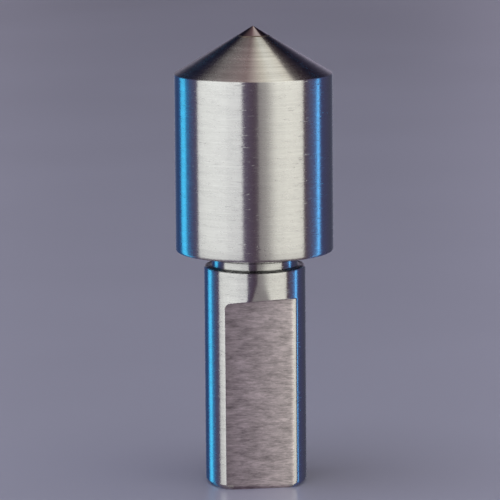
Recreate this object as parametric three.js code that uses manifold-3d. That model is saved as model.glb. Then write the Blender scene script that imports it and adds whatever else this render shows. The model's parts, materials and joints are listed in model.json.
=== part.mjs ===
// A small live center: a rotating head with a 118 degree point, carried on two shielded ball
// bearings and one thrust ball bearing, on a fixed straight shank with a clamping flat.
// Millimetres, +Z up. The origin is the middle of the shank's end face, +Z runs up the axis
// to the point, and the clamping flat faces -Y.
import * as THREE from "three";
import { mergeVertices } from "three/addons/utils/BufferGeometryUtils.js";
import Module from "manifold-3d";

const wasm = await Module();
wasm.setup();

// ---------------------------------------------------------------- driving dimensions
// Shank
const SHANK_DIAMETER = 12.7; // half-inch straight shank
const SHANK_LENGTH = 27.8; // end face to shoulder
const SHANK_CHAMFER = 0.5; // 45 degree chamfer round the end face
const SHOULDER_BREAK = 0.3; // broken edge round the shoulder
const FLAT_DEPTH = 1.8; // how far the clamping flat lies below the round surface
const FLAT_LENGTH = 23.85; // end face to the middle of the flat's top end
const FLAT_END_SKEW = THREE.MathUtils.degToRad(3); // the flat's top end runs a little off square
const FLAT_END_LEAN = THREE.MathUtils.degToRad(11.5); // the wall there leans back from square
const CENTRE_HOLE_DIAMETER = 4.2; // mouth of the centre hole in the end face
const CENTRE_HOLE_ANGLE = 60; // included angle of its cone, in degrees
const CENTRE_DRILL_DIAMETER = 2; // pilot drill under it
const CENTRE_DRILL_DEPTH = 2.4; // pilot length past the cone

// Bearings: two 8 x 16 x 5 shielded deep groove bearings and one 8 x 16 x 5 thrust bearing
const BEARING_BORE = 8;
const BEARING_OUTER = 16;
const BEARING_WIDTH = 5;
const THRUST_HEIGHT = 5;
const THRUST_WASHER = 1.65; // thickness of each thrust washer at its flat faces
const BALL_DIAMETER = 2.381; // 3/32 in
const BALL_COUNT = 9;
const RACE_SHOULDER = 0.7; // radial distance from the balls' pitch circle to each ring's shoulder
const RACE_CLEARANCE = 0.1; // between a ball and its groove
const CAGE_WIDTH = 1.0; // radial width of the crown cage
const CAGE_BACK_GAP = 0.35; // between the crown cage's back and the shield
const CAGE_PRONG = 0.5; // how far the crown cage's prongs rise past the balls' middle
const POCKET_CLEARANCE = 0.08; // between a ball and its cage pocket
const THRUST_GAP = 0.2; // radial gap from a thrust washer to the piece that turns past it
const THRUST_CAGE_WIDTH = 3;
const THRUST_CAGE_THICKNESS = 1.1;
const SHIELD_THICKNESS = 0.25;
const SHIELD_RECESS = 0.2; // shield below the bearing's face
const SHIELD_GAP = 0.15; // shield to inner ring

// Other pieces of the stack
const SPACER_LENGTH = 1.0; // between the two bearings: spacer inside, wave spring outside
const SPRING_WIRE = 0.3;
const SPRING_WAVES = 3;
const SPRING_CLEARANCE = 0.15; // to the bore outside it and past the rings' shoulders inside it
const NUT_THICKNESS = 2;
const NUT_OVER_RACE = 0.7; // the nut's radius over the inner ring's shoulder
const NUT_SLOT_WIDTH = 1.6;
const NUT_SLOT_DEPTH = 0.9;
const NECK_OVER_RACE = 0.1; // the neck's radius over the inner ring's shoulder
const NECK_GAP = 1.8; // the open groove between shank and head
const PILOT_RELIEF = 0.2; // radius taken off the spindle above the thrust bearing's lower washer
const END_CLEARANCE = 0.6; // spindle end to the floor of the head's bore

// Head
const HEAD_WALL = 1.37; // wall outside the retaining ring's thread
const THREAD_STEP = 0.5; // the thread's radius over the bearing bore's radius
const CROWN = 1.3; // from the bore's floor up to the base of the cone
const POINT_ANGLE = 118; // included angle of the point, in degrees
const HEAD_BREAK = 0.4; // broken edge round the mouth
const TIP_DIAMETER = 4; // carbide tip
const TIP_LEAD = 0.3; // chamfer that leads the tip into its hole
const TIP_WEB = 1.2; // steel between the tip and the floor of the head's bore
const TIP_VENT_DIAMETER = 1.4; // hole that lets air out when the tip is pressed in
const RING_RECESS = 0.3; // retaining ring below the mouth
const RING_THICKNESS = 2.7;
const RING_LIP = 0.7; // thickness of the ring's inward lip, which carries the seal
const RING_RUNNING_GAP = 0.2; // between that lip and the neck
const SPANNER_HOLE_DIAMETER = 1.1; // two holes for a pin spanner
const SPANNER_HOLE_DEPTH = 1.2;
const SEAL_SECTION = 1.2; // radial width of the lip seal
const SEAL_HEEL = 0.5; // radial width of its solid heel
const SEAL_HEIGHT = 1.6;
const SEAL_LIP = 0.35; // thickness of its lip
const SEAL_LIP_RISE = 0.6; // how far the lip leans up the neck
const SEAL_GAP = 0.05; // between the lip and the neck

// Fits and facets
const FIT = 0.02; // radial gap of a fixed fit
const SEAT = 0.02; // end gap where two pieces bear on each other
const ROUND = 64; // facets round the outside
const RING = 32; // facets round a hidden ring
const GROOVE_STEPS = 4; // facets along a ball groove
const POCKET_SIDES = 10; // facets round a cage pocket
const OVERCUT = 1; // how far a cutting body runs past what it cuts
const WELD = 1e-4; // corners closer than this are one corner

// ---------------------------------------------------------------- worked out from them
const shankRadius = SHANK_DIAMETER / 2;
const journalRadius = BEARING_BORE / 2;
const boreRadius = BEARING_OUTER / 2;
const ballRadius = BALL_DIAMETER / 2;
const grooveRadius = ballRadius + RACE_CLEARANCE;
const pitchRadius = (BEARING_BORE + BEARING_OUTER) / 4;
const innerShoulder = pitchRadius - RACE_SHOULDER;
const outerShoulder = pitchRadius + RACE_SHOULDER;
const neckRadius = innerShoulder + NECK_OVER_RACE;
const threadRadius = boreRadius + THREAD_STEP;
const headRadius = threadRadius + HEAD_WALL;
const sealOuter = neckRadius + SEAL_SECTION;

// Heights up the axis
const mouthZ = SHANK_LENGTH + NECK_GAP;
const ringZ = mouthZ + RING_RECESS;
const lowerBearingZ = ringZ + RING_THICKNESS;
const spacerZ = lowerBearingZ + BEARING_WIDTH;
const upperBearingZ = spacerZ + SPACER_LENGTH;
const nutZ = upperBearingZ + BEARING_WIDTH;
const thrustZ = nutZ + NUT_THICKNESS;
const floorZ = thrustZ + THRUST_HEIGHT;
const coneZ = floorZ + CROWN;
const halfPoint = THREE.MathUtils.degToRad(POINT_ANGLE / 2);
const pointZ = coneZ + headRadius / Math.tan(halfPoint);
const tipSeatZ = floorZ + TIP_WEB;
const coneHeightAt = (radius) => pointZ - radius / Math.tan(halfPoint);

// ---------------------------------------------------------------- materials
const material = (hex, roughness, metalness) =>
  new THREE.MeshStandardMaterial({ color: hex, roughness, metalness });
const turnedSteel = material(0xb9b7b1, 0.3, 1);
const bearingSteel = material(0xc4c6c8, 0.15, 1);
const springSteel = material(0x8a8c90, 0.3, 1);
const blackenedSteel = material(0x3a3b3e, 0.45, 1);
const zincedSteel = material(0xa9adb1, 0.3, 1);
const carbide = material(0x8b8882, 0.2, 1);
const nylon = material(0x9c4a32, 0.55, 0);
const brass = material(0xb08d4c, 0.3, 1);
const nitrile = material(0x1b1c1e, 0.7, 0);

// ---------------------------------------------------------------- shape helpers
// Revolves a closed outline of [radius, height] points about +Z. The outline runs anticlockwise.
function revolve(outline, facets) {
  const points = outline.map(([radius, height]) => new THREE.Vector2(radius, height));
  if (outline[0][0] > 0) points.push(points[0].clone());
  return new THREE.LatheGeometry(points, facets).rotateX(Math.PI / 2);
}

// A plain ring between two radii, from one height to another.
const ringOutline = (inner, outer, low, high) => [
  [inner, low],
  [outer, low],
  [outer, high],
  [inner, high],
];

// The corner radius of a faceted bore whose flats stand at the true radius.
const bore = (radius, facets) => radius / Math.cos(Math.PI / facets);

// Points of an arc in the radius-height plane, from one angle to another, in degrees.
function arc(centreRadius, centreHeight, radius, from, to, steps) {
  return Array.from({ length: steps + 1 }, (_, i) => {
    const angle = THREE.MathUtils.degToRad(from + ((to - from) * i) / steps);
    return [centreRadius + radius * Math.cos(angle), centreHeight + radius * Math.sin(angle)];
  });
}

// A closed geometry as a solid for cutting.
function solidOf(geometry) {
  const bare = new THREE.BufferGeometry();
  bare.setAttribute("position", geometry.getAttribute("position"));
  bare.setIndex(geometry.index);
  const merged = mergeVertices(bare, WELD);
  const corners = merged.index.array;
  const triangles = [];
  for (let i = 0; i < corners.length; i += 3) {
    const [a, b, c] = corners.slice(i, i + 3);
    if (a !== b && b !== c && c !== a) triangles.push(a, b, c);
  }
  const vertProperties = merged.getAttribute("position").array;
  const triVerts = new Uint32Array(triangles);
  return new wasm.Manifold(new wasm.Mesh({ numProp: 3, vertProperties, triVerts }));
}

function geometryOf(solid) {
  const mesh = solid.getMesh();
  const geometry = new THREE.BufferGeometry();
  geometry.setAttribute("position", new THREE.BufferAttribute(mesh.vertProperties, 3));
  geometry.setIndex(new THREE.BufferAttribute(mesh.triVerts, 1));
  geometry.computeVertexNormals();
  return geometry;
}

// Takes each cutter away from a body.
function cut(body, cutters) {
  const rest = cutters.reduce((left, cutter) => left.subtract(solidOf(cutter)), solidOf(body));
  return geometryOf(rest);
}

// Calls make once for each of a number of places spread evenly round the axis.
function around(count, make) {
  return Array.from({ length: count }, (_, i) => make((2 * Math.PI * i) / count, i));
}

// ---------------------------------------------------------------- shank
// The cutter for the clamping flat: a block with a leaning end, sheared by the end's skew.
function flatCutter() {
  const flatY = -(shankRadius - FLAT_DEPTH);
  const outY = -(shankRadius + OVERCUT);
  const shape = new THREE.Shape();
  shape.moveTo(outY, -OVERCUT);
  shape.lineTo(flatY, -OVERCUT);
  shape.lineTo(flatY, FLAT_LENGTH);
  shape.lineTo(outY, FLAT_LENGTH + (FLAT_DEPTH + OVERCUT) * Math.tan(FLAT_END_LEAN));
  const width = SHANK_DIAMETER + 2 * OVERCUT;
  const block = new THREE.ExtrudeGeometry(shape, { depth: width, bevelEnabled: false });
  // The shape's x and y are the part's Y and Z, and the extrusion runs along X.
  const turn = new THREE.Matrix4().set(0, 0, 1, -width / 2, 1, 0, 0, 0, 0, 1, 0, 0, 0, 0, 0, 1);
  const shear = new THREE.Matrix4().set(1, 0, 0, 0, 0, 1, 0, 0, Math.tan(FLAT_END_SKEW), 0, 1, 0, 0, 0, 0, 1);
  return block.applyMatrix4(turn).applyMatrix4(shear);
}

function shank() {
  const mouth = CENTRE_HOLE_DIAMETER / 2;
  const drill = CENTRE_DRILL_DIAMETER / 2;
  const coneDepth = (mouth - drill) / Math.tan(THREE.MathUtils.degToRad(CENTRE_HOLE_ANGLE / 2));
  const journal = journalRadius - FIT;
  const pilot = journal - PILOT_RELIEF;
  const pilotZ = thrustZ + THRUST_WASHER;
  const body = revolve(
    [
      [0, coneDepth + CENTRE_DRILL_DEPTH],
      [drill, coneDepth + CENTRE_DRILL_DEPTH],
      [drill, coneDepth],
      [mouth, 0],
      [shankRadius - SHANK_CHAMFER, 0],
      [shankRadius, SHANK_CHAMFER],
      [shankRadius, SHANK_LENGTH - SHOULDER_BREAK],
      [shankRadius - SHOULDER_BREAK, SHANK_LENGTH],
      [neckRadius, SHANK_LENGTH],
      [neckRadius, lowerBearingZ],
      [journal, lowerBearingZ],
      [journal, pilotZ],
      [pilot, pilotZ],
      [pilot, floorZ - END_CLEARANCE],
      [0, floorZ - END_CLEARANCE],
    ],
    ROUND,
  );
  return cut(body, [flatCutter()]);
}

// ---------------------------------------------------------------- head
function headShell() {
  const seat = bore(boreRadius, ROUND);
  const thread = bore(threadRadius, ROUND);
  const hole = bore(TIP_DIAMETER / 2 + FIT, ROUND);
  const vent = TIP_VENT_DIAMETER / 2;
  return revolve(
    [
      [vent, floorZ],
      [seat, floorZ],
      [seat, lowerBearingZ],
      [thread, lowerBearingZ],
      [thread, mouthZ],
      [headRadius - HEAD_BREAK, mouthZ],
      [headRadius, mouthZ + HEAD_BREAK],
      [headRadius, coneZ],
      [hole, coneHeightAt(hole)],
      [hole, tipSeatZ],
      [vent, tipSeatZ],
    ],
    ROUND,
  );
}

function carbideTip() {
  const radius = TIP_DIAMETER / 2;
  return revolve(
    [
      [0, tipSeatZ + SEAT],
      [radius - TIP_LEAD, tipSeatZ + SEAT],
      [radius, tipSeatZ + SEAT + TIP_LEAD],
      [radius, coneHeightAt(radius)],
      [0, pointZ],
    ],
    RING,
  );
}

// Threaded ring that holds the lower bearing and the seal in the head, with two spanner holes.
function retainingRing() {
  const outer = threadRadius - FIT;
  const sealBore = bore(sealOuter + FIT, ROUND);
  const body = revolve(
    [
      [neckRadius + RING_RUNNING_GAP, ringZ],
      [outer, ringZ],
      [outer, lowerBearingZ - SEAT],
      [sealBore, lowerBearingZ - SEAT],
      [sealBore, ringZ + RING_LIP],
      [neckRadius + RING_RUNNING_GAP, ringZ + RING_LIP],
    ],
    ROUND,
  );
  const holes = around(2, (angle) => {
    const radius = SPANNER_HOLE_DIAMETER / 2;
    const length = SPANNER_HOLE_DEPTH + OVERCUT;
    const drill = new THREE.CylinderGeometry(radius, radius, length, POCKET_SIDES).rotateX(Math.PI / 2);
    const reach = (sealBore + outer) / 2;
    const middle = ringZ + SPANNER_HOLE_DEPTH - length / 2;
    return drill.translate(reach * Math.cos(angle), reach * Math.sin(angle), middle);
  });
  return cut(body, holes);
}

// Rubber seal: a solid heel in the ring's bore and a thin lip that leans up the neck.
function lipSeal() {
  const low = ringZ + RING_LIP + SEAT;
  const heel = sealOuter - SEAL_HEEL;
  const lip = bore(neckRadius + SEAL_GAP, RING);
  return revolve(
    [
      [heel, low],
      [sealOuter, low],
      [sealOuter, low + SEAL_HEIGHT],
      [heel, low + SEAL_HEIGHT],
      [heel, low + SEAL_LIP],
      [lip, low + SEAL_LIP + SEAL_LIP_RISE],
      [lip, low + SEAL_LIP_RISE],
    ],
    RING,
  );
}

// ---------------------------------------------------------------- ball bearings
// Half the angle that a ring's groove covers, where its shoulders cut the groove's circle.
const grooveOpen = THREE.MathUtils.radToDeg(Math.acos(RACE_SHOULDER / grooveRadius));
const journalBore = bore(journalRadius, RING);

// Rings of a deep groove bearing whose lower face is at z.
function innerRing(z) {
  const middle = z + BEARING_WIDTH / 2;
  const lowest = z + SEAT;
  const highest = z + BEARING_WIDTH - SEAT;
  return revolve(
    [
      [journalBore, lowest],
      [innerShoulder, lowest],
      ...arc(pitchRadius, middle, grooveRadius, 180 + grooveOpen, 180 - grooveOpen, GROOVE_STEPS),
      [innerShoulder, highest],
      [journalBore, highest],
    ],
    RING,
  );
}

function outerRing(z) {
  const middle = z + BEARING_WIDTH / 2;
  const lowest = z + SEAT;
  const highest = z + BEARING_WIDTH - SEAT;
  const groove = arc(pitchRadius, middle, grooveRadius, grooveOpen, -grooveOpen, GROOVE_STEPS);
  const outline = [
    [outerShoulder, lowest],
    [boreRadius - FIT, lowest],
    [boreRadius - FIT, highest],
    [outerShoulder, highest],
    ...groove,
  ];
  return revolve(outline, RING);
}

// A pressed steel shield, held just inside the outer ring's shoulder.
function shield(low) {
  const inner = bore(innerShoulder + SHIELD_GAP, RING);
  const outer = outerShoulder * Math.cos(Math.PI / RING) - FIT;
  return revolve(ringOutline(inner, outer, low, low + SHIELD_THICKNESS), RING);
}

const ball = () => new THREE.IcosahedronGeometry(ballRadius, 1);

// Pocket cutters: one sphere for each ball, round the pitch circle at height z.
function pockets(z) {
  const radius = bore(ballRadius + POCKET_CLEARANCE, POCKET_SIDES);
  return around(BALL_COUNT, (angle) => {
    const sphere = new THREE.SphereGeometry(radius, POCKET_SIDES, POCKET_SIDES - 2);
    const pocket = sphere.rotateX(Math.PI / 2).rotateZ(angle);
    return pocket.translate(pitchRadius * Math.cos(angle), pitchRadius * Math.sin(angle), z);
  });
}

// Crown cage: a ring behind the balls with prongs that reach up between them.
function crownCage(z) {
  const middle = z + BEARING_WIDTH / 2;
  const low = z + SHIELD_RECESS + SHIELD_THICKNESS + CAGE_BACK_GAP;
  const high = middle + CAGE_PRONG;
  const inner = pitchRadius - CAGE_WIDTH / 2;
  const outer = pitchRadius + CAGE_WIDTH / 2;
  return cut(revolve(ringOutline(inner, outer, low, high), BALL_COUNT * 4), pockets(middle));
}

// ---------------------------------------------------------------- thrust bearing
const thrustMiddle = thrustZ + THRUST_HEIGHT / 2;
const washerFace = THRUST_HEIGHT / 2 - THRUST_WASHER; // from the balls' middle to a washer's face

// Half the angle that a washer's groove covers, where its face cuts the groove's circle.
const thrustOpen = THREE.MathUtils.radToDeg(Math.acos(washerFace / grooveRadius));

// The fixed washer, centred on the spindle and clear of the head.
function lowerWasher() {
  const low = thrustZ + SEAT;
  const high = thrustZ + THRUST_WASHER;
  const outer = boreRadius - THRUST_GAP;
  return revolve(
    [
      [journalBore, low],
      [outer, low],
      [outer, high],
      ...arc(pitchRadius, thrustMiddle, grooveRadius, 270 + thrustOpen, 270 - thrustOpen, GROOVE_STEPS),
      [journalBore, high],
    ],
    RING,
  );
}

// The turning washer, centred in the head and clear of the spindle.
function upperWasher() {
  const low = floorZ - THRUST_WASHER;
  const high = floorZ - SEAT;
  const inner = bore(journalRadius - PILOT_RELIEF + THRUST_GAP, RING);
  return revolve(
    [
      [inner, low],
      ...arc(pitchRadius, thrustMiddle, grooveRadius, 90 + thrustOpen, 90 - thrustOpen, GROOVE_STEPS),
      [boreRadius - FIT, low],
      [boreRadius - FIT, high],
      [inner, high],
    ],
    RING,
  );
}

function thrustCage() {
  const inner = pitchRadius - THRUST_CAGE_WIDTH / 2;
  const outer = pitchRadius + THRUST_CAGE_WIDTH / 2;
  const low = thrustMiddle - THRUST_CAGE_THICKNESS / 2;
  const high = thrustMiddle + THRUST_CAGE_THICKNESS / 2;
  return cut(revolve(ringOutline(inner, outer, low, high), BALL_COUNT * 4), pockets(thrustMiddle));
}

// ---------------------------------------------------------------- spacer, spring and nut
function innerSpacer() {
  const outline = ringOutline(journalBore, innerShoulder, spacerZ + SEAT, upperBearingZ - SEAT);
  return revolve(outline, RING);
}

// Wave spring: a flat ring whose height follows a sine wave round the axis.
function waveSpring() {
  const inner = outerShoulder + SPRING_CLEARANCE;
  const outer = boreRadius - SPRING_CLEARANCE;
  const rise = (SPACER_LENGTH - SPRING_WIRE) / 2 - SEAT;
  const middle = spacerZ + SPACER_LENGTH / 2;
  const half = SPRING_WIRE / 2;
  const ring = revolve(ringOutline(inner, outer, middle - half, middle + half), SPRING_WAVES * 12);
  const place = ring.getAttribute("position");
  for (let i = 0; i < place.count; i += 1) {
    const angle = Math.atan2(place.getY(i), place.getX(i));
    place.setZ(i, place.getZ(i) + rise * Math.cos(SPRING_WAVES * angle));
  }
  return ring;
}

// Round nut with four spanner slots, which clamps the inner rings on the spindle.
function lockNut() {
  const outer = innerShoulder + NUT_OVER_RACE;
  const body = revolve(ringOutline(journalBore, outer, nutZ + SEAT, thrustZ), RING);
  const slots = around(4, (angle) => {
    const slot = new THREE.BoxGeometry(2 * NUT_SLOT_DEPTH, NUT_SLOT_WIDTH, NUT_THICKNESS + 2 * OVERCUT);
    return slot.translate(outer, 0, nutZ + NUT_THICKNESS / 2).rotateZ(angle);
  });
  return cut(body, slots);
}

// ---------------------------------------------------------------- the assembly
const liveCenter = new THREE.Group();

function add(name, geometry, finish, x = 0, y = 0, z = 0) {
  const mesh = new THREE.Mesh(geometry, finish);
  mesh.name = name;
  mesh.position.set(x, y, z);
  liveCenter.add(mesh);
}

// One ball for each pocket, numbered from 1.
function addBalls(name, z) {
  around(BALL_COUNT, (angle, i) => {
    add(`${name}_${i + 1}`, ball(), bearingSteel, pitchRadius * Math.cos(angle), pitchRadius * Math.sin(angle), z);
  });
}

// A shielded deep groove bearing whose lower face is at z.
function addBearing(name, z) {
  const middle = z + BEARING_WIDTH / 2;
  add(`${name}_inner_ring`, innerRing(z), bearingSteel);
  add(`${name}_outer_ring`, outerRing(z), bearingSteel);
  add(`${name}_bottom_shield`, shield(z + SHIELD_RECESS), zincedSteel);
  add(`${name}_top_shield`, shield(z + BEARING_WIDTH - SHIELD_RECESS - SHIELD_THICKNESS), zincedSteel);
  add(`${name}_cage`, crownCage(z), nylon);
  addBalls(`${name}_ball`, middle);
}

add("shank", shank(), turnedSteel);
add("head_shell", headShell(), turnedSteel);
add("carbide_tip", carbideTip(), carbide);
add("retaining_ring", retainingRing(), blackenedSteel);
add("lip_seal", lipSeal(), nitrile);
addBearing("lower", lowerBearingZ);
add("inner_spacer", innerSpacer(), zincedSteel);
add("wave_spring", waveSpring(), springSteel);
addBearing("upper", upperBearingZ);
add("lock_nut", lockNut(), blackenedSteel);
add("thrust_lower_washer", lowerWasher(), bearingSteel);
add("thrust_cage", thrustCage(), brass);
addBalls("thrust_ball", thrustMiddle);
add("thrust_upper_washer", upperWasher(), bearingSteel);

export default liveCenter;
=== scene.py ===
# %% [markdown]
# # A small live center
# A live center holds the free end of a workpiece in a lathe. Its point turns with the work on ball
# bearings, while its shank stays still in the tailstock. This one has a 118 degree point on a
# plain round head, a bright straight shank with a flat for a set screw, and a narrow neck between
# the two. The frame that is loaded here holds every piece as a plain faceted solid, in its place.
# Each cell below swaps one of them for a finely shaped piece with its own finish.

# %% Load the frame
import json
import math

import bmesh
import bpy
import numpy as np
from mathutils import Matrix, Vector


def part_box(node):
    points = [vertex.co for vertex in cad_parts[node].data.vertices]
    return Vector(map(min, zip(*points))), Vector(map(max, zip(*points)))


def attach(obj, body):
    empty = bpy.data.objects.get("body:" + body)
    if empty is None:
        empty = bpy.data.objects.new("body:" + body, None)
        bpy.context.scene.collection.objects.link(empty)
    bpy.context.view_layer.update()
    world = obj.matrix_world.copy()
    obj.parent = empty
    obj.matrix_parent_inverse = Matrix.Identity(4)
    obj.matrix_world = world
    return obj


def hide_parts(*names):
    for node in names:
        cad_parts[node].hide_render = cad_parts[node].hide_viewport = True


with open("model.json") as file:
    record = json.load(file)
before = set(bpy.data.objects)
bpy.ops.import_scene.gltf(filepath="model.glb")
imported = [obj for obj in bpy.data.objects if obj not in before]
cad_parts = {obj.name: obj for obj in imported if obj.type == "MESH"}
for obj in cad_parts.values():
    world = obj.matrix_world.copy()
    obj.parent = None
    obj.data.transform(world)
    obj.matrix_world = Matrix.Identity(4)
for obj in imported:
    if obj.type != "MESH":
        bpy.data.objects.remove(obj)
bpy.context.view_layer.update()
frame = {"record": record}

# %% [markdown]
# ## Measures
# The scene is in metres, but a machinist thinks in millimetres, so outlines are written in
# millimetres and turned to metres once, when a mesh is made. Sizes come from the frame: nearly
# every piece is round about +Z, so its box gives its outer radius and its two end heights.

# %% Radius, bottom and top of a round node, in millimetres
MM = 0.001


def radius(node):
    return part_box(node)[1][0] / MM


def bottom(node):
    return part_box(node)[0][2] / MM


def top(node):
    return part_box(node)[1][2] / MM


FIT = 0.02  # gap of a fixed fit, and between faces that bear on each other
HALF_POINT = math.radians(118 / 2)
point_z = top("carbide_tip")
head_radius = radius("head_shell")
cone_z = point_z - head_radius / math.tan(HALF_POINT)
mouth_z = bottom("head_shell")
print(f"head {2 * head_radius:.2f} mm across, cone from {cone_z:.2f} to {point_z:.2f} mm")

# %% [markdown]
# ## The camera
# A long lens from nearly half a metre away keeps the sides of the cylinder almost parallel. The
# camera looks slightly down, so the shoulder on top of the shank just shows. It stands a little
# to the left of the flat, and it leans by less than half a degree.

# %% Camera
CAMERA_DISTANCE = 441 * MM
CAMERA_AZIMUTH = math.radians(-7.7)
CAMERA_PITCH = math.radians(9.5)
CAMERA_ROLL = math.radians(-0.43)
AIM_LEFT_OF_AXIS = 0.58 * MM


def sideways(azimuth):
    """The unit vector to the right, for someone who looks at the axis from that azimuth."""
    return Vector((math.cos(azimuth), math.sin(azimuth), 0))


def outward(azimuth, elevation):
    """The unit vector from the axis towards that azimuth and elevation. Azimuth 0 is -Y."""
    flat = Vector((math.sin(azimuth), -math.cos(azimuth), 0))
    return flat * math.cos(elevation) + Vector((0, 0, math.sin(elevation)))


aim = Vector((0, 0, mouth_z * MM)) - sideways(CAMERA_AZIMUTH) * AIM_LEFT_OF_AXIS
back = outward(CAMERA_AZIMUTH, CAMERA_PITCH)
camera = bpy.data.objects.new("camera", bpy.data.cameras.new("camera"))
camera.data.lens = 253.3
camera.data.sensor_width = 36
camera.data.clip_start = 0.05
camera.data.clip_end = 20
turn = (-back).to_track_quat("-Z", "Y").to_matrix().to_4x4() @ Matrix.Rotation(CAMERA_ROLL, 4, "Z")
camera.matrix_world = Matrix.Translation(aim + back * CAMERA_DISTANCE) @ turn
bpy.context.scene.collection.objects.link(camera)
bpy.context.scene.camera = camera
print("camera at", [round(value, 3) for value in camera.location])

# %% [markdown]
# ## Making round pieces
# A turned piece is an outline swept round an axis. Blender's Spin and Screw tools do that, but a
# mesh written straight from numbers gives full control of where each ring of points lies, and the
# same code can then bend the rings, for a flat, a thread or a wave. An outline here is a list of
# (radius, height) points in millimetres that runs anticlockwise, so its faces look outwards.

# %% Rings of points and the skin between them
FINE = 192  # facets round what is seen
INNER = 96  # facets round what is hidden inside


def ring_points(outline, facets=FINE):
    """One ring of points for each outline point, as an array of rings x facets x 3."""
    angle = np.linspace(0, 2 * math.pi, facets, endpoint=False)
    outline = np.asarray(outline, float)
    reach, height = outline[:, 0, None], outline[:, 1, None]
    return np.stack([reach * np.sin(angle), -reach * np.cos(angle), height + 0 * angle], axis=-1)


def skin(rings, closed):
    """Points and faces between neighbouring rings. A ring that lies on the axis becomes one point."""
    points, index = [], []
    for ring in rings:
        if np.abs(ring[:, :2]).max() < 1e-6:
            index.append([len(points)] * len(ring))
            points.append(ring[0])
        else:
            index.append(list(range(len(points), len(points) + len(ring))))
            points.extend(ring)
    faces = []
    pairs = list(zip(index, index[1:])) + ([(index[-1], index[0])] if closed else [])
    for low, high in pairs:
        for a, b, c, d in zip(low, low[1:] + low[:1], high[1:] + high[:1], high):
            corners = list(dict.fromkeys((a, b, c, d)))
            if len(corners) > 2:
                faces.append(corners)
    return np.array(points), faces


SHARP = 30  # an edge that turns by more degrees than this is drawn sharp


def make_mesh(name, points, faces, sharp=SHARP):
    """A mesh in metres, smooth everywhere except across edges steeper than sharp degrees."""
    mesh = bpy.data.meshes.new(name)
    mesh.from_pydata((points * MM).tolist(), [], faces)
    mesh.update()
    mesh.polygons.foreach_set("use_smooth", [True] * len(mesh.polygons))
    mesh.set_sharp_from_angle(angle=math.radians(sharp))
    return mesh


def turned(name, outline, facets=FINE):
    """A turned piece's mesh. The outline closes on itself, as it does round a ring."""
    points, faces = skin(ring_points(outline, facets), closed=True)
    return make_mesh(name, points, faces)


def face_middles(points, faces):
    """The x, y and z of each face's middle, to choose the faces that get a second finish."""
    return np.array([points[face].mean(axis=0) for face in faces]).T


# %% [markdown]
# No real edge is perfectly sharp: even a crisp one is broken by a few hundredths of a millimetre,
# and that small round is what catches the light. Blender's Bevel modifier can do it, but on a
# turned piece it is cheaper to round the corners of the outline before it is swept.

# %% Rounded outline corners
def rounded(outline, size, steps=4):
    """The closed outline with each corner cut by an arc. size is one radius, or one per corner."""
    sizes = size if isinstance(size, (list, tuple)) else [size] * len(outline)
    corners = [np.array(corner, float) for corner in outline]
    result = []
    for i, (corner, r) in enumerate(zip(corners, sizes)):
        before, after = corners[i - 1] - corner, corners[(i + 1) % len(corners)] - corner
        long_before, long_after = np.linalg.norm(before), np.linalg.norm(after)
        before, after = before / long_before, after / long_after
        half = math.acos(np.clip(np.dot(before, after), -1, 1)) / 2
        if r <= 0 or half > math.radians(88):
            result.append(tuple(corner))
            continue
        setback = min(r / math.tan(half), 0.45 * long_before, 0.45 * long_after)
        start, end = corner + before * setback, corner + after * setback
        for t in np.linspace(0, 1, steps + 1):
            blend = (1 - t) ** 2 * start + 2 * t * (1 - t) * corner + t**2 * end
            result.append(tuple(blend))
    return result


# %% [markdown]
# A thread is a helical groove. On a mesh of rings it needs no new faces: each point is moved
# towards the axis, or away from it inside a hole, by an amount that climbs one pitch for each turn.

# %% Threads
def thread_rows(crest, low, high, pitch):
    """Outline points close enough together to carry a thread on a cylinder of radius crest."""
    return [(crest, z) for z in np.linspace(low, high, round(6 * abs(high - low) / pitch))]


def threaded(rings, crest, low, high, pitch, depth):
    """The rings with a V thread cut into their cylinder of radius crest, between two heights.

    A negative depth cuts away from the axis, for a thread in a hole."""
    rings = np.array(rings)
    x, y, z = rings[..., 0], rings[..., 1], rings[..., 2]
    reach = np.hypot(x, y)
    phase = (z / pitch - np.arctan2(y, x) / (2 * math.pi)) % 1
    run_out = np.clip((z - low) / pitch, 0, 1) * np.clip((high - z) / pitch, 0, 1)
    cut = np.where(np.abs(reach - crest) < 0.001, depth * (1 - np.abs(2 * phase - 1)) * run_out, 0)
    scale = 1 - cut / np.maximum(reach, 0.001)
    return np.stack([x * scale, y * scale, z], axis=-1)


# %% [markdown]
# Pockets, holes and slots are real cuts, so the Boolean modifier makes them: one mesh that holds
# all the cutters is taken from the turned blank, and only the result is kept.

# %% Cutting pockets, holes and slots
def ball_points(centre, size, facets=32):
    """A ball's points and faces. Its poles lie on a line parallel to the axis."""
    turn = np.linspace(0, math.pi, facets // 2 + 1)
    outline = [(size * math.sin(t), -size * math.cos(t)) for t in turn]
    outline[0], outline[-1] = (0.0, -size), (0.0, size)
    points, faces = skin(ring_points(outline, facets), closed=False)
    return points + np.array(centre), faces


def block_points(centre, size, angle=0.0):
    """A block's points and faces, turned about the axis by angle."""
    corners = np.array([(x, y, z) for x in (-0.5, 0.5) for y in (-0.5, 0.5) for z in (-0.5, 0.5)])
    points = corners * np.array(size) + np.array(centre)
    cos, sin = math.cos(angle), math.sin(angle)
    spin = np.array([[cos, sin, 0], [-sin, cos, 0], [0, 0, 1]])
    faces = [(0, 1, 3, 2), (4, 6, 7, 5), (0, 4, 5, 1), (2, 3, 7, 6), (0, 2, 6, 4), (1, 5, 7, 3)]
    return points @ spin, faces


SPECK = 0.002  # a cut's edges shorter than this are dissolved, with the slivers beside them


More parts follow.
